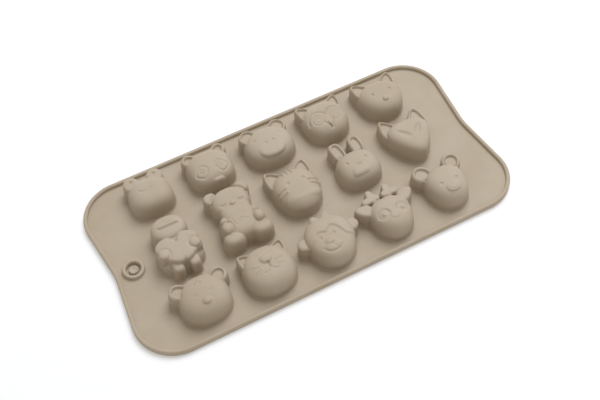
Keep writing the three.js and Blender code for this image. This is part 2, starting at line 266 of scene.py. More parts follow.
@dataclass(frozen=True)
class Lobe(Egg):
    """A rounded mass of a figure: an egg-shaped plan under a full dome.

    Attributes:
        foot: Height at which the dome starts.
        top: Height of its crown.
        round: Fullness of its shoulder.
        throat: How far its hollow runs on towards the head.
    """

    foot: float = WEB
    top: float = FACE_TOP
    round: float = LOBE_ROUND
    throat: float = 0.0

    SKIRT = 3.0  # how far a lobe reaches below its foot, inside what carries it
    SKIRT_ROUND = 12.0  # fullness of that part, which is nearly square

    def height_at(self, x: float, y: float) -> float:
        """Finds the height of the dome over a point of its plan.

        Args:
            x: Place across.
            y: Place along.

        Returns:
            The height above the fill face.
        """
        spread = float(self.spread(np.array([[x, y]]))[0])
        return self.foot + (self.top - self.foot) * (1.0 - spread ** self.round) ** (1.0 / self.round)

    def carried_on(self, run: float) -> "Lobe":
        """Carries the inner end of the lobe on along its own length.

        Args:
            run: How far.

        Returns:
            The longer lobe.
        """
        turn = math.radians(self.turn)
        half = run / 2.0
        return replace(self, x=self.x + half * math.sin(turn), y=self.y - half * math.cos(turn),
                       ry=self.ry + half)

    def inner(self, deeper: float = 0.0) -> "Lobe":
        """Draws the lobe in by the wall, for its hollow.

        Args:
            deeper: Extra depth of the crown, under an ear's well.

        Returns:
            The hollow as a lobe, with its throat added.
        """
        longer = self.carried_on(self.throat)
        return replace(longer, rx=self.rx - WALL, ry=longer.ry - WALL, top=self.top - WALL - deeper)

    def is_hollow(self) -> bool:
        """Tells if the lobe is wide enough to have a hollow."""
        return min(self.rx, self.ry) - WALL >= LEAST_HOLLOW

    def add_to(self, mesh: bmesh.types.BMesh, ball: bpy.types.Mesh) -> None:
        """Adds the lobe as a closed dome.

        Args:
            mesh: The mesh that takes it.
            ball: A ball of radius 1, which a copy of is shaped.
        """
        unit = vertex_places(ball)
        flat = np.maximum(np.hypot(unit[:, 0], unit[:, 1]), 1e-6)
        fullness = np.where(unit[:, 2] >= 0.0, self.round, self.SKIRT_ROUND)
        reach = np.where(unit[:, 2] >= 0.0, self.top - self.foot, self.SKIRT)
        shrink = (flat ** (2.0 / fullness))[:, None]
        lift = np.copysign(reach * np.abs(unit[:, 2]) ** (2.0 / fullness), unit[:, 2])
        along_rim = unit[:, :2] / flat[:, None]
        across, along = (np.copysign(np.abs(along_rim) ** (2.0 / self.square), along_rim)).T
        edge = np.stack(self.place(across, along), axis=1)
        middle = np.array([self.x, self.y])
        plan = middle + (edge - middle) * shrink
        shaped = ball.copy()
        shaped.vertices.foreach_set("co", np.column_stack([plan, self.foot + lift]).ravel())
        mesh.from_mesh(shaped)
        bpy.data.meshes.remove(shaped)


@dataclass(frozen=True)
class Ear(Lobe):
    """A lobe at the edge of a head, flat on top, with a hollow that runs on into the head's."""

    round: float = EAR_ROUND
    throat: float = THROAT


@dataclass(frozen=True)
class Patch(Egg):
    """An egg-shaped area of a face that is raised or pressed in.

    Attributes:
        height: Rise of the area, below zero where it is pressed in.
        edge: Width of its soft edge.
        below: Only skin lower than this moves.
        above: Only skin higher than this moves.
    """

    height: float = -0.4
    edge: float = 0.5
    below: float = math.inf
    above: float = -math.inf

    FADE = 0.5  # height over which those limits take hold

    def lift(self, skin: np.ndarray) -> np.ndarray:
        """Finds how far points of a skin move.

        Args:
            skin: Points of the skin, one a row.

        Returns:
            The move of each point.
        """
        inside = (1.0 - self.spread(skin)) * min(self.rx, self.ry)
        share = soft_step(inside, -self.edge / 2.0, self.edge / 2.0)
        if math.isfinite(self.below):
            share = share * soft_step(self.below - skin[:, 2], 0.0, self.FADE)
        if math.isfinite(self.above):
            share = share * soft_step(skin[:, 2] - self.above, 0.0, self.FADE)
        return self.height * share


@dataclass(frozen=True)
class Stroke:
    """A groove or ridge drawn on a face along a smooth line.

    Attributes:
        points: Places that the line runs through.
        height: Rise of a ridge, below zero for a groove.
        width: Width of the line.
        closed: Whether the line runs back to its start.
    """

    points: tuple[Point, ...]
    height: float = -0.4
    width: float = 0.8
    closed: bool = False

    STEPS = 6  # straight runs between two points
    REACH = 2.0  # how many widths off a line its effect ends
    SPREAD = 0.6  # how many widths off it has fallen to about a third

    def mirrored(self) -> "Stroke":
        """Returns the same line on the other side of the figure."""
        return replace(self, points=tuple((-x, y) for x, y in self.points))

    def line(self) -> np.ndarray:
        """Draws the smooth line.

        Returns:
            Points along it, one a row.
        """
        points = np.array(self.points)
        if self.closed:
            points = np.vstack([points[-1:], points, points[:2]])
        else:
            points = np.vstack([2 * points[:1] - points[1:2], points, 2 * points[-1:] - points[-2:-1]])
        shares = np.linspace(0.0, 1.0, self.STEPS, endpoint=False)[:, None]
        runs = []
        for before, start, end, after in zip(points, points[1:], points[2:], points[3:]):
            bend = 2 * before - 5 * start + 4 * end - after
            twist = 3 * start - before - 3 * end + after
            runs.append(start + 0.5 * ((end - before) * shares + bend * shares**2 + twist * shares**3))
        return np.vstack([*runs, points[-2:-1]])

    def lift(self, skin: np.ndarray) -> np.ndarray:
        """Finds how far points of a skin move.

        Args:
            skin: Points of the skin, one a row.

        Returns:
            The move of each point.
        """
        line = self.line()
        near = in_reach(skin, line, self.REACH * self.width)
        shares = gap_to(line, skin[near, :2]) / (self.SPREAD * self.width)
        moves = np.zeros(len(skin))
        moves[near] = self.height * np.exp(-(shares ** 2))
        return moves


@dataclass(frozen=True)
class Panel:
    """An area of a face inside a smooth line, raised or pressed in.

    Attributes:
        points: Places that the line runs through, all round.
        height: Rise of the area, below zero where it is pressed in.
        edge: Width of its soft edge.
        above: Only skin higher than this moves.
    """

    points: tuple[Point, ...]
    height: float
    edge: float
    above: float

    FADE = 4.0  # height over which the move grows from nothing

    def lift(self, skin: np.ndarray) -> np.ndarray:
        """Finds how far points of a skin move.

        Args:
            skin: Points of the skin, one a row.

        Returns:
            The move of each point.
        """
        line = Stroke(self.points, closed=True).line()
        near = in_reach(skin, line, self.edge)
        plan = skin[near, :2]
        inside = np.zeros(len(plan), dtype=bool)
        for start, end in zip(line, line[1:]):
            spans = (start[1] > plan[:, 1]) != (end[1] > plan[:, 1])
            rise = end[1] - start[1]
            share = (plan[:, 1] - start[1]) / (rise if rise else 1.0)
            inside ^= spans & (plan[:, 0] < start[0] + share * (end[0] - start[0]))
        depth = np.where(inside, 1.0, -1.0) * gap_to(line, plan)
        moves = np.zeros(len(skin))
        moves[near] = self.height * soft_step(depth, -self.edge / 2.0, self.edge / 2.0)
        return moves * soft_step(skin[:, 2], self.above, self.above + self.FADE)


def in_reach(skin: np.ndarray, line: np.ndarray, reach: float) -> np.ndarray:
    """Picks the points of a skin that lie about a line.

    Args:
        skin: Points of the skin, one a row.
        line: Points of the line, one a row.
        reach: How far outside the line's box a point may lie.

    Returns:
        Whether each point does.
    """
    low = line.min(axis=0) - reach
    high = line.max(axis=0) + reach
    return np.all((skin[:, :2] > low) & (skin[:, :2] < high), axis=1)


def gap_to(line: np.ndarray, plan: np.ndarray) -> np.ndarray:
    """Measures how far points of a plan lie from a line.

    Args:
        line: Points of the line, one a row.
        plan: The points, one a row.

    Returns:
        The distance of each point.
    """
    nearest = np.full(len(plan), np.inf)
    for start, end in zip(line, line[1:]):
        run = end - start
        share = np.clip((plan - start) @ run / max(float(run @ run), 1e-9), 0.0, 1.0)
        gap = plan - start - share[:, None] * run
        nearest = np.minimum(nearest, np.hypot(gap[:, 0], gap[:, 1]))
    return nearest


Relief = Patch | Panel | Stroke


def both(*shapes: Egg | Stroke) -> tuple:
    """Pairs shapes with their mirror images.

    Args:
        *shapes: Lobes, patches or strokes of one side.

    Returns:
        Each shape, followed by its image.
    """
    return tuple(side for shape in shapes for side in (shape, shape.mirrored()))


def ring(x: float, y: float, radius: float, height: float, width: float = 0.6) -> Stroke:
    """Draws a round groove or ridge.

    Args:
        x: Place across.
        y: Place along.
        radius: Radius of the line.
        height: Rise of the line, below zero for a groove.
        width: Width of the line.

    Returns:
        The closed line.
    """
    return Stroke(Egg(radius, radius, x, y, square=2.0).outline(), height, width, closed=True)


def dot(x: float, y: float, radius: float, height: float) -> Patch:
    """Draws a small round bump or dimple.

    Args:
        x: Place across.
        y: Place along.
        radius: Its radius.
        height: Its rise, below zero for a dimple.

    Returns:
        The patch.
    """
    return Patch(radius, radius, x, y, square=2.0, height=height, edge=0.7 * radius)


def ears_on(head: Lobe, from_side: float, from_top: float, ear: Ear, outward: bool = False) -> tuple:
    """Sets two ears on a head.

    Args:
        head: The head.
        from_side: How far in from the head's side they sit.
        from_top: How far down from the head's top they sit.
        ear: The ear's own sizes.
        outward: Whether they point away from the middle of the head.

    Returns:
        Both ears.
    """
    x = head.rx - from_side
    y = head.ry - from_top
    turn = -math.degrees(math.atan2(x, y)) if outward else ear.turn
    return both(replace(ear, x=head.x + x, y=head.y + y, turn=turn))


def feature_on(head: Lobe, plan: Egg, rise: float, fullness: float = LOBE_ROUND) -> Lobe:
    """Stands a nose, muzzle or patch on a face.

    Args:
        head: The face.
        plan: Plan of the feature.
        rise: How far it stands above the face.
        fullness: Fullness of its shoulder.

    Returns:
        The feature as a lobe.
    """
    top = head.height_at(plan.x, plan.y) + rise
    return Lobe(**asdict(plan), foot=top - FEATURE_DEPTH, top=top, round=fullness)


@dataclass
class AnimalCup:
    """One hollow cup in the shape of an animal.

    Attributes:
        name: The animal.
        lobes: Hollow masses of the figure.
        ears: Hollow ears with a well in their tops.
        solid: Masses without a hollow.
        relief: Fine carving of the face.
        lip: Width of the lip round the well of an ear.
        mouth: The filling mouth's edge on top of the web, once the cup is built.
    """

    name: str
    lobes: tuple[Lobe, ...]
    ears: tuple[Ear, ...] = ()
    solid: tuple[Lobe, ...] = ()
    relief: tuple[Relief, ...] = ()
    lip: float = EAR_RIM
    mouth: list[Vector] = field(default_factory=list)

    SKIN_VOXEL = 0.25  # size of the outer skin's faces
    HOLLOW_VOXEL = 0.45  # size of the inner skin's faces
    SKIN_SOFTENING = 6  # rounds of smoothing outside
    HOLLOW_SOFTENING = 4  # rounds of smoothing inside
    BASE_MARGIN = 5.0  # web that is fused on round the figure, to give the fillet at its foot
    TRIM = 0.03  # the fused web is cut off this far above the sheet
    WELL_EDGE = 0.4  # width of a well's soft edge
    WELL_OVER = 0.35  # skin up to this far over an ear's top takes part in its well
    WELL_UNDER = 0.9  # and skin down to this far under it

    @property
    def node(self) -> str:
        """Names the CAD node that the cup stands for."""
        return f"cup_{self.name}"

    def wells(self) -> tuple[Patch, ...]:
        """Returns the wells in the ears as pressed-in patches that are open towards the head."""
        longer = (ear.carried_on(EAR_OPENING) for ear in self.ears)
        return tuple(Patch(well.rx - self.lip, well.ry - self.lip, well.x, well.y, well.square, well.taper,
                           well.turn, height=-EAR_WELL, edge=self.WELL_EDGE,
                           below=well.top + self.WELL_OVER, above=well.top - self.WELL_UNDER)
                     for well in longer)

    def skin(self, ball: bpy.types.Mesh) -> bmesh.types.BMesh:
        """Models the outside of the cup, open at the sheet.

        Args:
            ball: A ball of radius 1.

        Returns:
            The outer skin.
        """
        mesh = bmesh.new()
        for lobe in (*self.lobes, *self.ears, *self.solid):
            lobe.add_to(mesh, ball)
        corners = np.array([[vert.co.x, vert.co.y] for vert in mesh.verts])
        low = corners.min(axis=0) - self.BASE_MARGIN
        high = corners.max(axis=0) + self.BASE_MARGIN
        middle = (low + high) / 2.0
        size = Matrix.Diagonal((*(high - low), Lobe.SKIRT, 1.0))
        place = Matrix.Translation((*middle, WEB - Lobe.SKIRT / 2.0))
        bmesh.ops.create_cube(mesh, size=1.0, matrix=place @ size)
        fused = fuse(mesh, self.SKIN_VOXEL * coarseness(), self.SKIN_SOFTENING)
        carve(fused, (*self.wells(), *self.relief))
        return cut_at_web(fused, self.TRIM)

    def hollow(self, ball: bpy.types.Mesh) -> bmesh.types.BMesh:
        """Models the inside of the cup, open at the sheet and facing inwards.

        Args:
            ball: A ball of radius 1.

        Returns:
            The inner skin.
        """
        mesh = bmesh.new()
        for lobe in (*(lobe.inner() for lobe in self.lobes if lobe.is_hollow()),
                     *(ear.inner(EAR_WELL) for ear in self.ears if ear.is_hollow())):
            lobe.add_to(mesh, ball)
        fused = fuse(mesh, self.HOLLOW_VOXEL * coarseness(), self.HOLLOW_SOFTENING)
        carve(fused, self.relief)
        inside = cut_at_web(fused, 0.0)
        bmesh.ops.reverse_faces(inside, faces=inside.faces)
        return inside

    def build(self, centre: Point, ball: bpy.types.Mesh, finish: bpy.types.Material) -> None:
        """Builds the cup in its cell and rides it on the mould.

        Args:
            centre: Middle of the cell.
            ball: A ball of radius 1.
            finish: The silicone.
        """
        cup = self.skin(ball)
        inside = finished(self.hollow(ball), self.name)
        cup.from_mesh(inside)
        bpy.data.meshes.remove(inside)
        bmesh.ops.translate(cup, verts=cup.verts, vec=(*centre, 0.0))
        foot = [edge for edge in cup.edges if edge.is_boundary]
        inner = min(ordered_loops(foot), key=loop_reach)
        self.mouth = [vert.co.copy() for vert in inner]
        fill_flat(cup, foot, -1.0)
        settle(cup, f"{self.name}_cup", self.node, finish)


def coarseness() -> float:
    return 1.0


def fuse(mesh: bmesh.types.BMesh, voxel: float, softening: int) -> bpy.types.Mesh:
    """Fuses overlapping closed shapes into one soft skin.

    Args:
        mesh: The shapes, which are freed.
        voxel: Size of the faces of the skin.
        softening: Rounds of smoothing, which round the creases.

    Returns:
        The fused skin.
    """
    raw = finished(mesh, "fuse")
    holder = add_object("fuse", raw)
    remesh = holder.modifiers.new("Fuse", "REMESH")
    remesh.mode = "VOXEL"
    remesh.voxel_size = voxel
    soften = holder.modifiers.new("Soften", "SMOOTH")
    soften.factor = SOFTENING
    soften.iterations = softening
    fused = bpy.data.meshes.new_from_object(holder.evaluated_get(bpy.context.evaluated_depsgraph_get()))
    bpy.data.objects.remove(holder)
    bpy.data.meshes.remove(raw)
    return fused


def carve(skin: bpy.types.Mesh, relief: tuple[Relief, ...]) -> None:
    """Raises and presses in the relief on the parts of a skin that look up.

    Args:
        skin: The skin, which is changed.
        relief: The carving.
    """
    places = vertex_places(skin)
    normals = np.empty(places.size)
    skin.vertex_normals.foreach_get("vector", normals)
    normals = normals.reshape(-1, 3)
    moves = sum((shape.lift(places) for shape in relief), np.zeros(len(places)))
    moves *= soft_step(normals[:, 2], *CARVED_LEAN)
    moves = blur(skin, moves, CARVE_BLUR)
    skin.vertices.foreach_set("co", (places + normals * moves[:, None]).ravel())
    skin.update()


def blur(skin: bpy.types.Mesh, values: np.ndarray, rounds: int) -> np.ndarray:
    """Evens out values over a skin, so that carved edges are not stepped.

    Args:
        skin: The skin.
        values: One value for each corner.
        rounds: How often each value is drawn half way to its neighbours.

    Returns:
        The evened values.
    """
    ends = np.empty(2 * len(skin.edges), dtype=np.int64)
    skin.edges.foreach_get("vertices", ends)
    first, second = ends.reshape(-1, 2).T
    count = len(values)
    links = np.bincount(first, minlength=count) + np.bincount(second, minlength=count)
    for _ in range(rounds):
        around = (np.bincount(first, weights=values[second], minlength=count)
                  + np.bincount(second, weights=values[first], minlength=count))
        values = 0.5 * values + 0.5 * around / np.maximum(links, 1)
    return values


def cut_at_web(skin: bpy.types.Mesh, trim: float) -> bmesh.types.BMesh:
    """Cuts a fused skin off at the sheet.

    Args:
        skin: The closed skin, which is removed.
        trim: How far above the sheet the cut lies, before its edge is set down on it.

    Returns:
        The part above, open at the sheet.
    """
    mesh = bmesh.new()
    mesh.from_mesh(skin)
    bpy.data.meshes.remove(skin)
    everything = [*mesh.verts, *mesh.edges, *mesh.faces]
    bmesh.ops.bisect_plane(mesh, geom=everything, dist=CUT_GAP, plane_co=(0.0, 0.0, WEB + trim),
                           plane_no=(0.0, 0.0, 1.0), clear_inner=True)
    for edge in mesh.edges:
        if edge.is_boundary:
            for vert in edge.verts:
                vert.co.z = WEB
    return mesh


def ordered_loops(edges: list[bmesh.types.BMEdge]) -> list[list[bmesh.types.BMVert]]:
    """Sorts boundary edges into closed loops.

    Args:
        edges: The edges, in any order.

    Returns:
        The corners of each loop, in order.
    """
    links: dict[bmesh.types.BMVert, list[bmesh.types.BMVert]] = {}
    for edge in edges:
        first, second = edge.verts
        links.setdefault(first, []).append(second)
        links.setdefault(second, []).append(first)
    loops = []
    while links:
        corner, neighbours = links.popitem()
        loop = [corner]
        while neighbours:
            following = next((vert for vert in neighbours if vert in links), None)
            if following is None:
                break
            loop.append(following)
            neighbours = links.pop(following)
        loops.append(loop)
    return loops


def loop_reach(loop: list[bmesh.types.BMVert]) -> float:
    """Measures how wide a loop is.

    Args:
        loop: Its corners.

    Returns:
        Its width along X.
    """
    places = [vert.co.x for vert in loop]
    return max(places) - min(places)


def add_loop(mesh: bmesh.types.BMesh, points: list[Vector]) -> list[bmesh.types.BMEdge]:
    """Adds a closed loop of edges.

    Args:
        mesh: The mesh that takes it.
        points: Its corners.

    Returns:
        The edges.
    """
    verts = [mesh.verts.new(point) for point in points]
    return [mesh.edges.new((first, second)) for first, second in zip(verts, verts[1:] + verts[:1])]


def fill_flat(mesh: bmesh.types.BMesh, edges: list[bmesh.types.BMEdge], up: float) -> None:
    """Fills the level area between loops.

    Args:
        mesh: The mesh.
        edges: Edges of the loops.
        up: 1 where the faces look up, -1 where they look down.
    """
    bmesh.ops.triangle_fill(mesh, use_beauty=True, use_dissolve=False, edges=edges, normal=(0.0, 0.0, up))


def settle(mesh: bmesh.types.BMesh, name: str, node: str, finish: bpy.types.Material,
           crisp: bool = False) -> None:
    """Makes a modelled mesh a piece of the mould.

    Args:
        mesh: The mesh in millimetres, which is freed.
        name: Name of the piece.
        node: CAD node that it stands for.
        finish: Its material.
        crisp: Whether its hard edges stay crisp while its curves shade smoothly.
    """
    bmesh.ops.scale(mesh, vec=(MM, MM, MM), verts=mesh.verts)
    for facet in mesh.faces:
        facet.smooth = True
    data = finished(mesh, name)
    data.materials.append(finish)
    if crisp:
        data.set_sharp_from_angle(angle=math.radians(CRISP_ANGLE))
    piece = add_object(name, data)
    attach(piece, "root")
    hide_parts(node)
    LOG.info("%s: %d faces", name, len(data.polygons))


def frog() -> AnimalCup:
    """Draws the frog: a boxy face in front of two eye discs."""
    head = Lobe(12.0, 10.6, 0.5, -0.6, square=2.8)
    eyes = ears_on(head, 5.9, 1.7, Ear(4.7, 4.7, top=11.8))
    mouth = Stroke(((-4.8, 0.7), (-3.4, -0.3), (-1.8, -0.6), (0.0, -0.4), (1.8, 0.5)), -0.4, 0.8)
    return AnimalCup("frog", (head, *eyes), relief=(mouth, *both(dot(6.5, 9.2, 0.8, -0.7))))


def panda() -> AnimalCup:
    """Draws the panda: ringed eyes in slanting patches."""
    head = Lobe(12.8, 11.3, y=-0.5, square=2.8, round=3.8)
    ears = ears_on(head, 4.2, 2.6, Ear(4.3, 4.3, top=11.2), outward=True)
    nose = feature_on(head, Egg(3.7, 1.9, 0.9, -10.2, square=2.8), 0.6)
    patch = Egg(2.8, 3.6, 5.5, -4.0, square=3.6, taper=0.1, turn=36.0)
    border = Stroke(patch.outline(16), -0.45, 0.7, closed=True)
    eye = (ring(4.9, -3.4, 1.9, -0.35), dot(4.9, -3.4, 0.8, -0.35))
    return AnimalCup("panda", (head,), ears, (nose,), both(border, *eye), ROUND_EAR_RIM)


def hippo() -> AnimalCup:
    """Draws the hippo: half-moon ears and a broad flat muzzle."""
    head = Lobe(14.2, 11.9, y=-1.6, square=2.3)
    ears = ears_on(head, 5.1, 2.9, Ear(5.2, 4.7, top=11.0), outward=True)
    muzzle = feature_on(head, Egg(8.0, 5.8, -0.4, -6.2), 0.1, PLATEAU_ROUND)
    eye = Stroke(((6.8, 1.3), (8.4, 0.9)), -0.45, 0.9)
    return AnimalCup("hippo", (head, muzzle), ears, relief=both(eye, dot(2.2, -2.8, 0.6, -0.45)))


def owl() -> AnimalCup:
    """Draws the owl: tufts, ringed eyes in a facial disc and a small beak."""
    head = Lobe(13.2, 12.5, y=-1.3, square=2.4, taper=-0.1)
    tufts = ears_on(head, 4.6, 4.4, Ear(4.8, 6.8, taper=0.45, turn=-30.0, top=10.9))
    beak = feature_on(head, Egg(1.3, 2.9, y=-7.6, taper=-0.35), 0.7)
    disc = Stroke(((0.2, -0.4), (2.3, 1.8), (5.1, 2.5), (7.9, 1.8), (9.9, -0.4), (10.6, -3.2)), -0.6, 0.9)
    slit = Stroke(((-2.6, -5.8), (-1.3, -8.0), (-0.5, -10.2)), -0.5, 0.8)
    eye = (ring(5.1, -3.1, 1.6, -0.35), ring(5.1, -3.1, 3.2, -0.35), dot(5.1, -3.1, 0.7, -0.2))
    return AnimalCup("owl", (head,), tufts, (beak,), both(disc, slit, *eye))


def kitten() -> AnimalCup:
    """Draws the kitten: pointed ears, dot eyes and an oval nose."""
    head = Lobe(13.0, 11.9, y=-2.6, taper=-0.16)
    ears = ears_on(head, 4.3, 2.4, Ear(4.8, 6.5, taper=0.45, turn=-28.0, top=10.5))
    nose = feature_on(head, Egg(2.3, 2.0, y=-7.2), 0.9)
    return AnimalCup("kitten", (head,), ears, (nose,), both(dot(5.4, -1.8, 0.8, -0.5)))


def heart_frog() -> AnimalCup:
    """Draws the frog that holds a heart."""
    head = Lobe(9.8, 8.0, y=9.0, top=12.9, round=5.0)
    body = Lobe(12.0, 9.4, y=-5.4, square=2.6, top=10.6)
    neck = Lobe(8.0, 4.6, y=3.0, square=2.6, top=11.2, round=5.0)
    plate = {"foot": FACE_TOP - 2 * FEATURE_DEPTH, "top": 13.4, "round": 9.0}
    heart = both(Lobe(5.9, 9.0, 4.3, -5.6, taper=-0.2, turn=-27.0, **plate))
    middle = Lobe(3.8, 4.4, y=-5.8, **plate)
    hands = both(Lobe(3.4, 3.4, 8.4, -6.6, foot=9.5, top=14.3, round=3.2))
    legs = both(Lobe(3.2, 4.6, 4.4, -13.0, square=3.0, top=10.8, round=5.0))
    mouth = Stroke(((-5.0, 8.8), (0.0, 8.6), (5.0, 8.8)), -0.8, 1.1)
    lip = Stroke(((-4.8, 10.0), (0.0, 9.8), (4.8, 10.0)), 0.25, 0.9)
    folds = both(ring(8.4, -6.6, 3.4, -0.4, 0.8))
    return AnimalCup("heart_frog", (head, body, neck, *heart, *legs), solid=(middle, *hands),
                     relief=(mouth, lip, *folds))


def sitting_bear() -> AnimalCup:
    """Draws the sitting bear: round ears, hands on the belly and big feet."""
    head = Lobe(10.8, 8.7, y=8.9, square=2.4, round=4.6)
    body = Lobe(10.4, 9.2, y=-5.8, square=2.4, top=13.4, round=4.0)
    neck = Lobe(9.0, 8.0, y=1.4, square=3.0, top=13.4, round=5.0)
    ears = ears_on(head, 2.2, 2.9, Ear(4.2, 4.2, top=11.5, round=6.0))
    arms = both(Lobe(3.2, 4.0, 8.4, -2.4, turn=14.0, top=12.8, round=2.8))
    hands = both(Lobe(3.7, 4.2, 8.8, -7.2, foot=7.0, top=14.5, round=2.6))
    legs = both(Lobe(6.2, 5.0, 7.8, -12.8, top=12.4, round=3.8))
    nose = feature_on(head, Egg(2.0, 1.5, y=5.3), 0.9)
    crease = Stroke(((4.4, 16.6), (6.0, 15.7), (7.7, 14.5), (9.0, 12.9), (9.9, 11.0)), -0.8, 1.1)
    eye = Stroke(((3.9, 6.2), (5.0, 5.7), (6.1, 6.2)), -0.6, 1.0)
    bow = Stroke(((-4.6, -3.8), (-3.6, -8.0), (-0.6, -5.2), (1.6, -5.6), (3.2, -6.8)), -0.3, 0.7)
    folds = both(Stroke(Egg(3.3, 3.9, 8.8, -7.2, square=2.0).outline(), -0.45, 0.8, closed=True))
    return AnimalCup("sitting_bear", (head, body, neck, *ears, *arms, *legs), solid=(nose, *hands),
                     relief=(*both(eye, crease), bow, *folds))


def tiger() -> AnimalCup:
    """Draws the tiger: forehead stripes, whiskers and a raised muzzle."""
    head = Lobe(13.1, 13.8, -0.4, -0.5, taper=-0.1)
    pair = ears_on(head, 4.4, 2.8, Ear(5.3, 6.9, taper=0.5, turn=-24.0, top=10.0))
    ears = tuple(replace(ear, x=ear.x - 0.8) for ear in pair)  # both sit a little to the left
    muzzle = feature_on(head, Egg(9.8, 4.8, y=-6.6), -0.1, 2.6)
    snout = Patch(10.4, 7.8, y=-9.6, height=0.6, edge=1.2, above=6.0)
    stripes = tuple(Stroke(((x, 8.4), (x * 1.1, 12.2)), 0.8, 1.1) for x in (-3.8, -1.4, 1.0))
    upper = Stroke(((6.6, 0.3), (8.7, 0.1), (10.8, -0.4)), 0.8, 1.1)
    lower = Stroke(((6.9, -2.2), (9.0, -2.6), (11.0, -3.2)), 0.8, 1.1)
    bridge = Patch(8.6, 2.6, y=-4.4, height=-0.5, edge=3.6)
    return AnimalCup("tiger", (head,), ears, (muzzle,),
                     (*stripes, *both(upper, lower), bridge, snout, *both(dot(4.4, 2.2, 0.9, -0.5))))


def rabbit() -> AnimalCup:
    """Draws the rabbit: long looped ears and a square muzzle."""
    head = Lobe(12.2, 10.8, y=-3.2, square=2.5)
    ears = ears_on(head, 6.5, -2.6, Ear(4.0, 6.4, square=2.8, turn=-3.0, top=10.8))
    muzzle = feature_on(head, Egg(6.0, 3.9, -1.2, -7.5, square=3.0), 0.5)
    nose = Stroke(((-1.7, -4.4), (0.3, -4.4)), -0.45, 0.9)
    eyes = (dot(-6.2, -1.6, 0.8, -0.5), dot(5.0, -1.6, 0.8, -0.5))
    return AnimalCup("rabbit", (head,), ears, (muzzle,), (*eyes, nose), ROUND_EAR_RIM)


def fox() -> AnimalCup:
    """Draws the fox: big ears, slanting eyes and a narrow chin."""
    head = Lobe(11.4, 12.4, y=-0.4, taper=-0.46, round=4.6)
    ears = ears_on(head, 2.4, 1.2, Ear(5.0, 7.2, taper=0.5, turn=-14.0, top=10.2))
    eye = Patch(1.3, 3.9, 4.4, 1.3, taper=0.3, turn=-37.0, height=-0.6, edge=1.2)
    return AnimalCup("fox", (head,), ears, relief=both(eye))


def bear_cub() -> AnimalCup:
    """Draws the bear cub: ring ears and a button nose."""
    head = Lobe(13.3, 12.6, square=2.4)
    ears = ears_on(head, 2.4, 5.4, Ear(4.9, 4.9, top=11.4), outward=True)
    nose = feature_on(head, Egg(2.9, 2.4, y=-5.0), 1.0)
    spots = tuple(dot(x, y, 0.6, 0.4) for x, y in ((-1.4, 6.2), (0.0, 7.1), (1.4, 6.2)))
    eye = Stroke(((3.4, -0.6), (5.2, -0.4)), -0.25, 0.9)
    return AnimalCup("bear_cub", (head,), ears, (nose,), (*spots, *both(eye)), ROUND_EAR_RIM)


def cat() -> AnimalCup:
    """Draws the cat: small ears, whiskers and a mouth under a broad nose."""
    head = Lobe(13.9, 13.4, y=-0.7)
    ears = ears_on(head, 5.2, 5.6, Ear(4.9, 5.9, taper=0.5, turn=-34.0, top=10.4))
    nose = feature_on(head, Egg(3.9, 2.9, y=1.8, taper=-0.25), 1.1)
    lip = Stroke(((0.0, -0.4), (0.2, -2.6), (1.8, -4.8), (3.9, -5.2)), -0.4, 0.8)
    eye = Stroke(((3.2, 5.9), (4.8, 6.1)), -0.35, 0.9)
    upper = Stroke(((4.6, -0.2), (8.0, 0.6)), 0.3, 0.8)
    lower = Stroke(((4.4, -2.2), (7.6, -3.0)), 0.3, 0.8)
    return AnimalCup("cat", (head,), ears, (nose,), both(lip, eye, upper, lower))


def monkey() -> AnimalCup:
    """Draws the monkey: side ears, two hair tufts and a fringe over a smiling face."""
    head = Lobe(12.8, 13.6, y=-1.2, taper=-0.1, round=4.4)
    ears = ears_on(head, -0.3, 10.7, Ear(3.4, 4.0, top=9.8), outward=True)
    tufts = ears_on(head, 9.6, 1.4, Ear(2.8, 3.0, taper=0.45, turn=-14.0, top=11.8, round=5.0))
    muzzle = feature_on(head, Egg(6.2, 4.4, -1.2, -6.6), 0.4)
    nose = Patch(2.4, 1.7, -1.9, -3.9, height=0.55, edge=1.2)
    fringe = ((15.0, -5.4), (10.0, -4.6), (7.8, -3.6), (6.6, -1.4), (5.6, 1.2), (4.2, 3.2), (2.2, 4.2),
              (0.4, 3.2), (-1.4, 1.6), (-3.2, 2.2), (-5.4, 2.6), (-7.2, 1.4), (-8.6, -0.6), (-15.0, -2.4))
    hair = Panel((*fringe, (-18.0, 6.0), (-10.0, 17.0), (10.0, 17.0), (18.0, 6.0)), 0.65, 1.3, above=6.0)
    lip = Stroke(((-1.6, -5.8), (-0.9, -7.8), (0.2, -9.6)), -0.2, 0.8)
    smile = Stroke(((-7.2, -6.4), (-5.4, -8.8), (-2.8, -10.0), (0.2, -9.8), (2.4, -8.6)), -0.3, 0.9)
    eyes = (dot(-5.6, -0.7, 0.8, -0.4), dot(1.9, -0.7, 0.8, -0.4))
    return AnimalCup("monkey", (head, *ears, *tufts), solid=(muzzle,), relief=(hair, nose, lip, smile, *eyes))


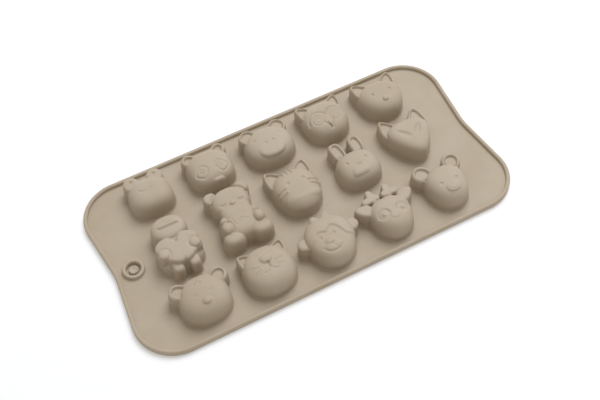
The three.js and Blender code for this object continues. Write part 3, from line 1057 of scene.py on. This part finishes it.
def deer() -> AnimalCup:
    """Draws the deer: branched antlers, leaf ears and arched eyes."""
    head = Lobe(11.5, 11.7, y=-3.1, taper=-0.16)
    leaves = ears_on(head, -0.6, 3.6, Ear(3.6, 5.2, taper=0.3, turn=-62.0, top=10.4))
    stems = ears_on(head, 6.7, -2.6, Ear(2.4, 4.6, turn=-4.0, top=10.4))
    outer = ears_on(head, 4.0, -0.9, Ear(2.2, 3.8, turn=-97.0, top=10.4))
    inner = ears_on(head, 8.8, -1.0, Ear(2.0, 2.4, turn=80.0, top=10.4))
    socket = Patch(3.3, 2.9, 5.4, -3.6, height=-0.5, edge=0.9)
    arch = Stroke(((1.9, -4.0), (2.9, -1.4), (5.4, -0.3), (7.9, -1.4), (8.9, -4.0)), -0.35, 0.8)
    pupil = dot(5.4, -3.6, 0.9, 0.5)
    nose = Patch(2.4, 1.4, y=-6.6, taper=-0.3, height=0.3, edge=0.9)
    return AnimalCup("deer", (head, *leaves, *stems, *outer, *inner),
                     relief=(*both(socket, arch, pupil), nose))


def koala() -> AnimalCup:
    """Draws the koala: big round ears and a broad nose."""
    head = Lobe(11.4, 12.3, y=-0.6, square=2.3, taper=-0.16)
    ears = ears_on(head, 2.2, 0.9, Ear(5.3, 5.3, top=10.4), outward=True)
    nose = feature_on(head, Egg(4.0, 3.3, y=-5.2), 0.8, PLATEAU_ROUND)
    groove = Stroke(Egg(2.9, 2.3, y=-5.2, square=2.0).outline(), -0.3, 0.6, closed=True)
    eyes = both(dot(4.6, -1.4, 0.8, -0.5))
    return AnimalCup("koala", (head,), ears, (nose,), (*eyes, groove), ROUND_EAR_RIM)


@dataclass
class Sheet:
    """The web between the cups and the rim bead round it.

    Attributes:
        half_length: Half the length of the mould.
        half_width: Half its width.
        corner_radius: Radius of the big round corners.
        waist_radius: Radius of the hollow in each end.
        waist_slant: Lean of the end's edge between a corner and the hollow, in degrees.
        rim_width: Width of the bead.
        rim_top: Height of the bead's crest above the fill face.
        seam: How far in from the edge the web ends under the bead.
        rounding: Radius of the bead's shoulders.
        fillet: Radius between the bead and the web.
    """

    half_length: float
    half_width: float
    corner_radius: float = 22.0
    waist_radius: float = 36.0
    waist_slant: float = 6.0
    rim_width: float = 2.2
    rim_top: float = 3.3
    seam: float = 1.1
    rounding: float = 0.85
    fillet: float = 0.2

    CORNER_STEPS = 36
    WAIST_STEPS = 8
    SHOULDER_STEPS = 8
    FILLET_STEPS = 4
    FOOT = ((0.45, 0.0), (0.15, 0.12), (0.0, 0.4))  # inset and height of the bead's rounded lower edge

    def outline(self, inset: float, z: float) -> list[Vector]:
        """Draws the edge of the mould.

        Args:
            inset: How far in from the edge.
            z: Height of the line.

        Returns:
            Points of the line, to the left all round.
        """
        slant = math.radians(self.waist_slant)
        corner = Vector((self.half_length - self.corner_radius, self.half_width - self.corner_radius))
        radii = self.corner_radius + self.waist_radius
        run = (corner.y - radii * math.sin(slant)) / math.cos(slant)
        waist_x = corner.x + radii * math.cos(slant) - run * math.sin(slant)
        upper = []
        for step in range(self.CORNER_STEPS + 1):
            angle = math.pi / 2 - step / self.CORNER_STEPS * (math.pi / 2 + slant)
            radius = self.corner_radius - inset
            upper.append(corner + radius * Vector((math.cos(angle), math.sin(angle))))
        for step in range(self.WAIST_STEPS):
            angle = math.pi - slant * (1.0 - step / self.WAIST_STEPS)
            radius = self.waist_radius + inset
            upper.append(Vector((waist_x, 0.0)) + radius * Vector((math.cos(angle), math.sin(angle))))
        middle = Vector((waist_x - self.waist_radius - inset, 0.0))
        right_end = [*upper, middle, *(Vector((point.x, -point.y)) for point in reversed(upper))]
        left_end = [-point for point in right_end]
        return [point.to_3d() + Vector((0.0, 0.0, z)) for point in reversed(right_end + left_end)]

    def build_web(self, cups: list[AnimalCup], boss: "HangRing", finish: bpy.types.Material) -> None:
        """Builds the web with the filling mouths of the cups and the foot of the ring boss through it.

        Args:
            cups: The cups, already built.
            boss: The ring boss.
            finish: The silicone.
        """
        web = bmesh.new()
        edges = add_loop(web, self.outline(self.seam, WEB))
        for loop in (*(cup.mouth for cup in cups), boss.foot()):
            edges += add_loop(web, loop)
        fill_flat(web, edges, 1.0)
        walls = bmesh.ops.extrude_edge_only(web, edges=edges)["geom"]
        lowered = [part for part in walls if isinstance(part, bmesh.types.BMVert)]
        bmesh.ops.translate(web, verts=lowered, vec=(0.0, 0.0, -WEB))
        fill_flat(web, [edge for edge in web.edges if edge.is_boundary], -1.0)
        bmesh.ops.recalc_face_normals(web, faces=web.faces)
        settle(web, "web", "web_sheet", finish, crisp=True)

    def build_rim(self, finish: bpy.types.Material) -> None:
        """Builds the bead: a rounded section carried round the edge.

        Args:
            finish: The silicone.
        """
        section = [(self.seam, 0.0), *self.FOOT]
        level = self.rim_top - self.rounding
        for step in range(self.SHOULDER_STEPS + 1):
            angle = math.pi * (1.0 - step / self.SHOULDER_STEPS)
            is_outer = step < self.SHOULDER_STEPS / 2
            shoulder = self.rounding if is_outer else self.rim_width - self.rounding
            section.append((shoulder + self.rounding * math.cos(angle),
                            level + self.rounding * math.sin(angle)))
        for step in range(self.FILLET_STEPS + 1):
            angle = math.pi + math.pi / 2 * step / self.FILLET_STEPS
            section.append((self.rim_width + self.fillet * (1.0 + math.cos(angle)),
                            WEB + self.fillet * (1.0 + math.sin(angle))))
        section.append((self.seam, WEB))
        rim = bmesh.new()
        lines = [self.outline(inset, z) for inset, z in section]
        edges = add_loop(rim, lines[0])
        for before, after in zip(lines, lines[1:] + lines[:1]):
            moves = {point.freeze(): target for point, target in zip(before, after)}
            extruded = bmesh.ops.extrude_edge_only(rim, edges=edges)["geom"]
            edges = [part for part in extruded if isinstance(part, bmesh.types.BMEdge)]
            for vert in {vert for edge in edges for vert in edge.verts}:
                vert.co = moves[vert.co.copy().freeze()]
        bmesh.ops.remove_doubles(rim, verts=rim.verts, dist=MERGE_GAP)
        bmesh.ops.recalc_face_normals(rim, faces=rim.faces)
        settle(rim, "rim", "rim_bead", finish, crisp=True)


@dataclass
class HangRing:
    """The ring boss at one end: a rounded ring, and in its narrow well a dimpled button.

    Attributes:
        centre_x: Place along the mould.
        diameter: Outer diameter.
        bore: Diameter of the well.
        rise: Height of the ring above the web.
        floor: Height of the well's floor above the web, below zero where it goes down into it.
        button: Diameter of the button.
        button_rise: Height of the button above the web.
    """

    centre_x: float
    diameter: float = 11.8
    bore: float = 7.6
    rise: float = 2.0
    floor: float = -0.8
    button: float = 5.0
    button_rise: float = 0.9

    STEPS = 96
    ARCH_STEPS = 10
    ARCH_WIDTH = 0.98  # the ring's rounded top is a little narrower than its foot
    ARCH_ROUND = 0.8  # below 1 for a fuller top than a half circle
    # Corners of the section, each as a radius and a height from the named edge.
    FOOT = ((0.5, 0.0), (0.15, 0.12), (0.0, 0.4))  # from the ring's side and the web
    WELL_CORNER = ((-0.1, 0.15), (-0.4, 0.0))  # from the bore and the floor
    BUTTON_FOOT = ((0.35, 0.0), (0.05, 0.2))  # from the button's side and the floor
    BUTTON_EDGE = ((-0.05, -0.25), (-0.4, 0.0), (-0.8, -0.1))  # from the button's side and top
    DIMPLE = ((0.6, -0.55), (0.0, -0.6))  # from the button's middle and top

    def foot(self) -> list[Vector]:
        """Returns the circle on top of the web inside which the boss goes down through it."""
        turns = (2 * math.pi * step / self.STEPS for step in range(self.STEPS))
        return [Vector((self.centre_x + self.bore / 2 * math.cos(turn), self.bore / 2 * math.sin(turn), WEB))
                for turn in turns]

    def build(self, finish: bpy.types.Material) -> None:
        """Builds the ring by spinning its section.

        Args:
            finish: The silicone.
        """
        outer = self.diameter / 2
        inner = self.bore / 2
        middle = (outer + inner) / 2
        half = (outer - inner) / 2
        button = self.button / 2
        section = [(0.0, -WEB), (inner, -WEB), (inner, 0.0), *((outer + out, up) for out, up in self.FOOT)]
        for step in range(self.ARCH_STEPS + 1):
            angle = math.pi * step / self.ARCH_STEPS
            section.append((middle + half * math.cos(angle) * self.ARCH_WIDTH,
                            self.rise - half + half * math.sin(angle) ** self.ARCH_ROUND))
        for radius, level, corners in ((inner, self.floor, self.WELL_CORNER),
                                       (button, self.floor, self.BUTTON_FOOT),
                                       (button, self.button_rise, self.BUTTON_EDGE),
                                       (0.0, self.button_rise, self.DIMPLE)):
            section += [(radius + out, level + up) for out, up in corners]
        boss = bmesh.new()
        verts = [boss.verts.new((self.centre_x + radius, 0.0, WEB + z)) for radius, z in section]
        edges = [boss.edges.new(pair) for pair in zip(verts, verts[1:])]
        bmesh.ops.spin(boss, geom=verts + edges, cent=(self.centre_x, 0.0, 0.0), axis=(0.0, 0.0, 1.0),
                       angle=2 * math.pi, steps=self.STEPS, use_merge=True)
        bmesh.ops.remove_doubles(boss, verts=boss.verts, dist=MERGE_GAP)
        bmesh.ops.recalc_face_normals(boss, faces=boss.faces)
        settle(boss, "ring_boss", "hang_ring", finish, crisp=True)


def empty_tree(owner: bpy.types.Material | bpy.types.World) -> bpy.types.NodeTree:
    """Gives a material or a world a node tree with nothing in it.

    Args:
        owner: The material or world.

    Returns:
        The tree.
    """
    owner.use_nodes = True
    owner.node_tree.nodes.clear()
    return owner.node_tree


def node_in(tree: bpy.types.NodeTree, kind: str, links: dict[str | int, object] | None = None,
            **settings: object) -> bpy.types.Node:
    """Adds a node with its settings and links.

    Args:
        tree: The node tree.
        kind: Type of the node.
        links: Sockets or values by the name or number of the input that takes them.
        **settings: Attributes of the node.

    Returns:
        The node.
    """
    added = tree.nodes.new(kind)
    for name, value in settings.items():
        setattr(added, name, value)
    for name, source in (links or {}).items():
        if isinstance(source, bpy.types.NodeSocket):
            tree.links.new(source, added.inputs[name])
        else:
            added.inputs[name].default_value = source
    return added


@dataclass(frozen=True)
class MouldedSilicone:
    """Platinum-cured silicone rubber, compression moulded with a matt skin.

    The tool's fine blasted surface leaves a soft, even sheen with no sharp highlight, and the pigment is
    mixed in, so the colour only drifts a little over centimetres.

    Attributes:
        name: Name of the material.
        colour: Its colour.
        deep_colour: Its colour where the pigment lies denser.
        drift_mm: Size of the cloudy drift of the pigment.
        drift_range: Levels of that drift between which the colour changes.
        roughness: Mean roughness.
        roughness_swing: How far the grain takes the roughness from its mean.
        ior: Refractive index.
        grain_mm: Size of the blasted grain, drawn coarser than the real 0.1 mm so that it shows.
        grain_depth_mm: Depth of the grain.
        grain_strength: Share of that depth that is shaded.
    """

    name: str = "moulded_silicone"
    colour: str = "#bbb0a0"
    deep_colour: str = "#b3a794"
    drift_mm: float = 26.0
    drift_range: Point = (0.3, 0.65)
    roughness: float = 0.58
    roughness_swing: float = 0.06
    ior: float = 1.41
    grain_mm: float = 0.7
    grain_depth_mm: float = 0.012
    grain_strength: float = 0.35

    def material(self) -> bpy.types.Material:
        """Makes the material.

        Returns:
            The node material.
        """
        made = bpy.data.materials.new(self.name)
        tree = empty_tree(made)
        place = node_in(tree, "ShaderNodeTexCoord").outputs["Object"]
        drift = node_in(tree, "ShaderNodeTexNoise", {
            "Vector": place, "Scale": 1.0 / (self.drift_mm * MM), "Detail": 3.0, "Roughness": 0.55})
        tint = node_in(tree, "ShaderNodeValToRGB", {"Fac": drift.outputs["Fac"]})
        stops = zip(tint.color_ramp.elements, self.drift_range, (self.deep_colour, self.colour))
        for stop, level, hex_code in stops:
            stop.position = level
            stop.color = linear(hex_code)
        grain = node_in(tree, "ShaderNodeTexNoise", {
            "Vector": place, "Scale": 1.0 / (self.grain_mm * MM), "Detail": 2.0, "Roughness": 0.6})
        gloss = node_in(tree, "ShaderNodeMapRange", {
            "Value": grain.outputs["Fac"], "To Min": self.roughness - self.roughness_swing,
            "To Max": self.roughness + self.roughness_swing})
        bump = node_in(tree, "ShaderNodeBump", {
            "Height": grain.outputs["Fac"], "Strength": self.grain_strength,
            "Distance": self.grain_depth_mm * MM})
        shader = node_in(tree, "ShaderNodeBsdfPrincipled", {
            "Base Color": tint.outputs["Color"], "Roughness": gloss.outputs["Result"],
            "Normal": bump.outputs["Normal"], "IOR": self.ior})
        node_in(tree, "ShaderNodeOutputMaterial", {"Surface": shader.outputs["BSDF"]})
        return made


@dataclass(frozen=True)
class Studio:
    """The pale floor, the soft light and the camera.

    Attributes:
        azimuth: Camera's turn about the mould, in degrees.
        elevation: Its height above the floor plane, in degrees.
        roll: Its roll, in degrees.
        focal_px: Its focal length in pixels of a picture 600 wide.
        distance: Distance from the middle of the mould.
        slide: How far the camera slides to its right and up, without turning.
        lamp_place: Place of the broad lamp.
        lamp_size: Its width.
        lamp_watts: Its power.
        fill_tone: Colour of the world's even light.
        fill_strength: Strength of that light.
        floor_tone: Colour of the floor where it is seen.
        floor_glow: Glow that brings the seen floor up to white.
        bounce_tone: Colour of the light that the floor throws up at the mould.
    """

    azimuth: float = -25.24
    elevation: float = 55.33
    roll: float = -3.11
    focal_px: float = 936.0
    distance: float = 498.8
    slide: Point = (0.92, -1.13)
    lamp_place: tuple[float, float, float] = (0.72, 0.64, 1.52)
    lamp_size: float = 1.2
    lamp_watts: float = 20.6
    fill_tone: str = "#fff6e8"
    fill_strength: float = 0.465
    floor_tone: str = "#eaeff8"
    floor_glow: float = 0.245
    bounce_tone: str = "#fbf8f3"

    PICTURE_WIDTH = 600
    SENSOR_MM = 36.0
    CLIP_START = 0.01
    FLOOR_SIZE = 6.0
    FLOOR_GAP = 0.00005  # keeps the floor just clear of the fill face
    FLOOR_ROUGHNESS = 0.7
    COLOUR_A, COLOUR_B, COLOUR_OUT = 6, 7, 2  # a Mix node's colour sockets, which share their names

    def build(self) -> None:
        """Sets up the floor, the light and the camera."""
        self.add_floor()
        self.add_light()
        self.add_camera()
        bpy.context.scene.view_settings.view_transform = "Standard"

    def add_floor(self) -> None:
        """Lays a white table top that keeps the mould's shadow."""
        top = bmesh.new()
        bmesh.ops.create_grid(top, x_segments=1, y_segments=1, size=self.FLOOR_SIZE / 2,
                              matrix=Matrix.Translation((0.0, 0.0, -self.FLOOR_GAP)))
        white = bpy.data.materials.new("white_table")
        tree = empty_tree(white)
        seen = self.seen_rays(tree)
        glow = node_in(tree, "ShaderNodeMath", {0: seen, 1: self.floor_glow}, operation="MULTIPLY")
        tone = node_in(tree, "ShaderNodeMix", {
            0: seen, self.COLOUR_A: linear(self.bounce_tone), self.COLOUR_B: linear(self.floor_tone)},
                       data_type="RGBA")
        shader = node_in(tree, "ShaderNodeBsdfPrincipled", {
            "Base Color": tone.outputs[self.COLOUR_OUT], "Roughness": self.FLOOR_ROUGHNESS,
            "Emission Color": WHITE, "Emission Strength": glow.outputs["Value"]})
        node_in(tree, "ShaderNodeOutputMaterial", {"Surface": shader.outputs["BSDF"]})
        data = finished(top, "floor")
        data.materials.append(white)
        floor = add_object("floor", data)

    @staticmethod
    def seen_rays(tree: bpy.types.NodeTree) -> bpy.types.NodeSocket:
        """Picks out the rays that show a surface to the camera, straight or by a reflection.

        Args:
            tree: The node tree of the floor or the world.

        Returns:
            1 for those rays and 0 for the ones that only carry light.
        """
        path = node_in(tree, "ShaderNodeLightPath").outputs
        mirrored = node_in(tree, "ShaderNodeMath", {0: path["Is Glossy Ray"], 1: path["Is Transmission Ray"]})
        seen = node_in(tree, "ShaderNodeMath", {0: path["Is Camera Ray"], 1: mirrored.outputs["Value"]},
                       use_clamp=True)
        return seen.outputs["Value"]

    def add_light(self) -> None:
        """Hangs a broad soft lamp up behind the mould on the right, in an even pale world."""
        lamp = bpy.data.lights.new("overhead_softbox", "AREA")
        lamp.shape = "SQUARE"
        lamp.size = self.lamp_size
        lamp.energy = self.lamp_watts
        holder = add_object("overhead_softbox", lamp)
        holder.location = self.lamp_place
        holder.rotation_euler = (-Vector(self.lamp_place)).to_track_quat("-Z", "Y").to_euler()
        world = bpy.data.worlds.new("studio")
        bpy.context.scene.world = world
        tree = empty_tree(world)
        fill = node_in(tree, "ShaderNodeBackground", {
            "Color": linear(self.fill_tone), "Strength": self.fill_strength})
        white = node_in(tree, "ShaderNodeBackground", {"Color": WHITE, "Strength": 1.0})
        light = node_in(tree, "ShaderNodeMixShader", {
            "Fac": self.seen_rays(tree), 1: fill.outputs["Background"], 2: white.outputs["Background"]})
        node_in(tree, "ShaderNodeOutputWorld", {"Surface": light.outputs["Shader"]})

    def add_camera(self) -> None:
        """Sets the camera at the photograph's angle."""
        azimuth = math.radians(self.azimuth)
        elevation = math.radians(self.elevation)
        roll = math.radians(self.roll)
        level = Vector((math.cos(azimuth), math.sin(azimuth), 0.0))
        back = Vector((math.sin(azimuth) * math.cos(elevation), -math.cos(azimuth) * math.cos(elevation),
                       math.sin(elevation)))
        rise = back.cross(level)
        right = level * math.cos(roll) + rise * math.sin(roll)
        upright = rise * math.cos(roll) - level * math.sin(roll)
        lens = bpy.data.cameras.new("camera")
        lens.sensor_fit = "HORIZONTAL"
        lens.sensor_width = self.SENSOR_MM
        lens.lens = self.focal_px / self.PICTURE_WIDTH * self.SENSOR_MM
        lens.clip_start = self.CLIP_START
        camera = add_object("camera", lens)
        eye = (back * self.distance + right * self.slide[0] + upright * self.slide[1]) * MM
        turned = Matrix((right, upright, back)).transposed().to_4x4()
        camera.matrix_world = Matrix.Translation(eye) @ turned
        bpy.context.scene.camera = camera


def cell_pitch(corner: AnimalCup, columns: int, rows: int) -> Point:
    """Finds from the CAD how far apart the cells are.

    Args:
        corner: The cup in the far right corner.
        columns: How many columns out from the middle it is.
        rows: How many rows out from the middle it is.

    Returns:
        The pitch along the mould and the one across it.
    """
    low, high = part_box(corner.node)
    face = corner.lobes[0]
    return (low.x + high.x) / 2 / MM / columns, (low.y / MM - face.y + face.ry) / rows


def main() -> None:
    """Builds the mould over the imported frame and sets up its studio."""
    logging.basicConfig(level=logging.INFO, format="%(name)s %(message)s")
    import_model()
    _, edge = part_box("web_sheet")
    sheet = Sheet(half_length=edge.x / MM, half_width=edge.y / MM)
    finish = MouldedSilicone().material()
    rows = {Row.FAR: (frog(), panda(), hippo(), owl(), kitten()),
            Row.MIDDLE: (heart_frog(), sitting_bear(), tiger(), rabbit(), fox()),
            Row.NEAR: (bear_cub(), cat(), monkey(), deer(), koala())}
    along, across = cell_pitch(rows[Row.FAR][-1], COLUMNS_OUT, Row.FAR.value)
    ball = unit_ball()
    cups = []
    for row, animals in rows.items():
        for column, cup in enumerate(animals):
            cup.build(((column - COLUMNS_OUT) * along, row.value * across), ball, finish)
            cups.append(cup)
    left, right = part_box("hang_ring")
    boss = HangRing(centre_x=(left.x + right.x) / 2 / MM)
    sheet.build_web(cups, boss, finish)
    sheet.build_rim(finish)
    boss.build(finish)
    Studio().build()


if __name__ == "__main__":
    main()
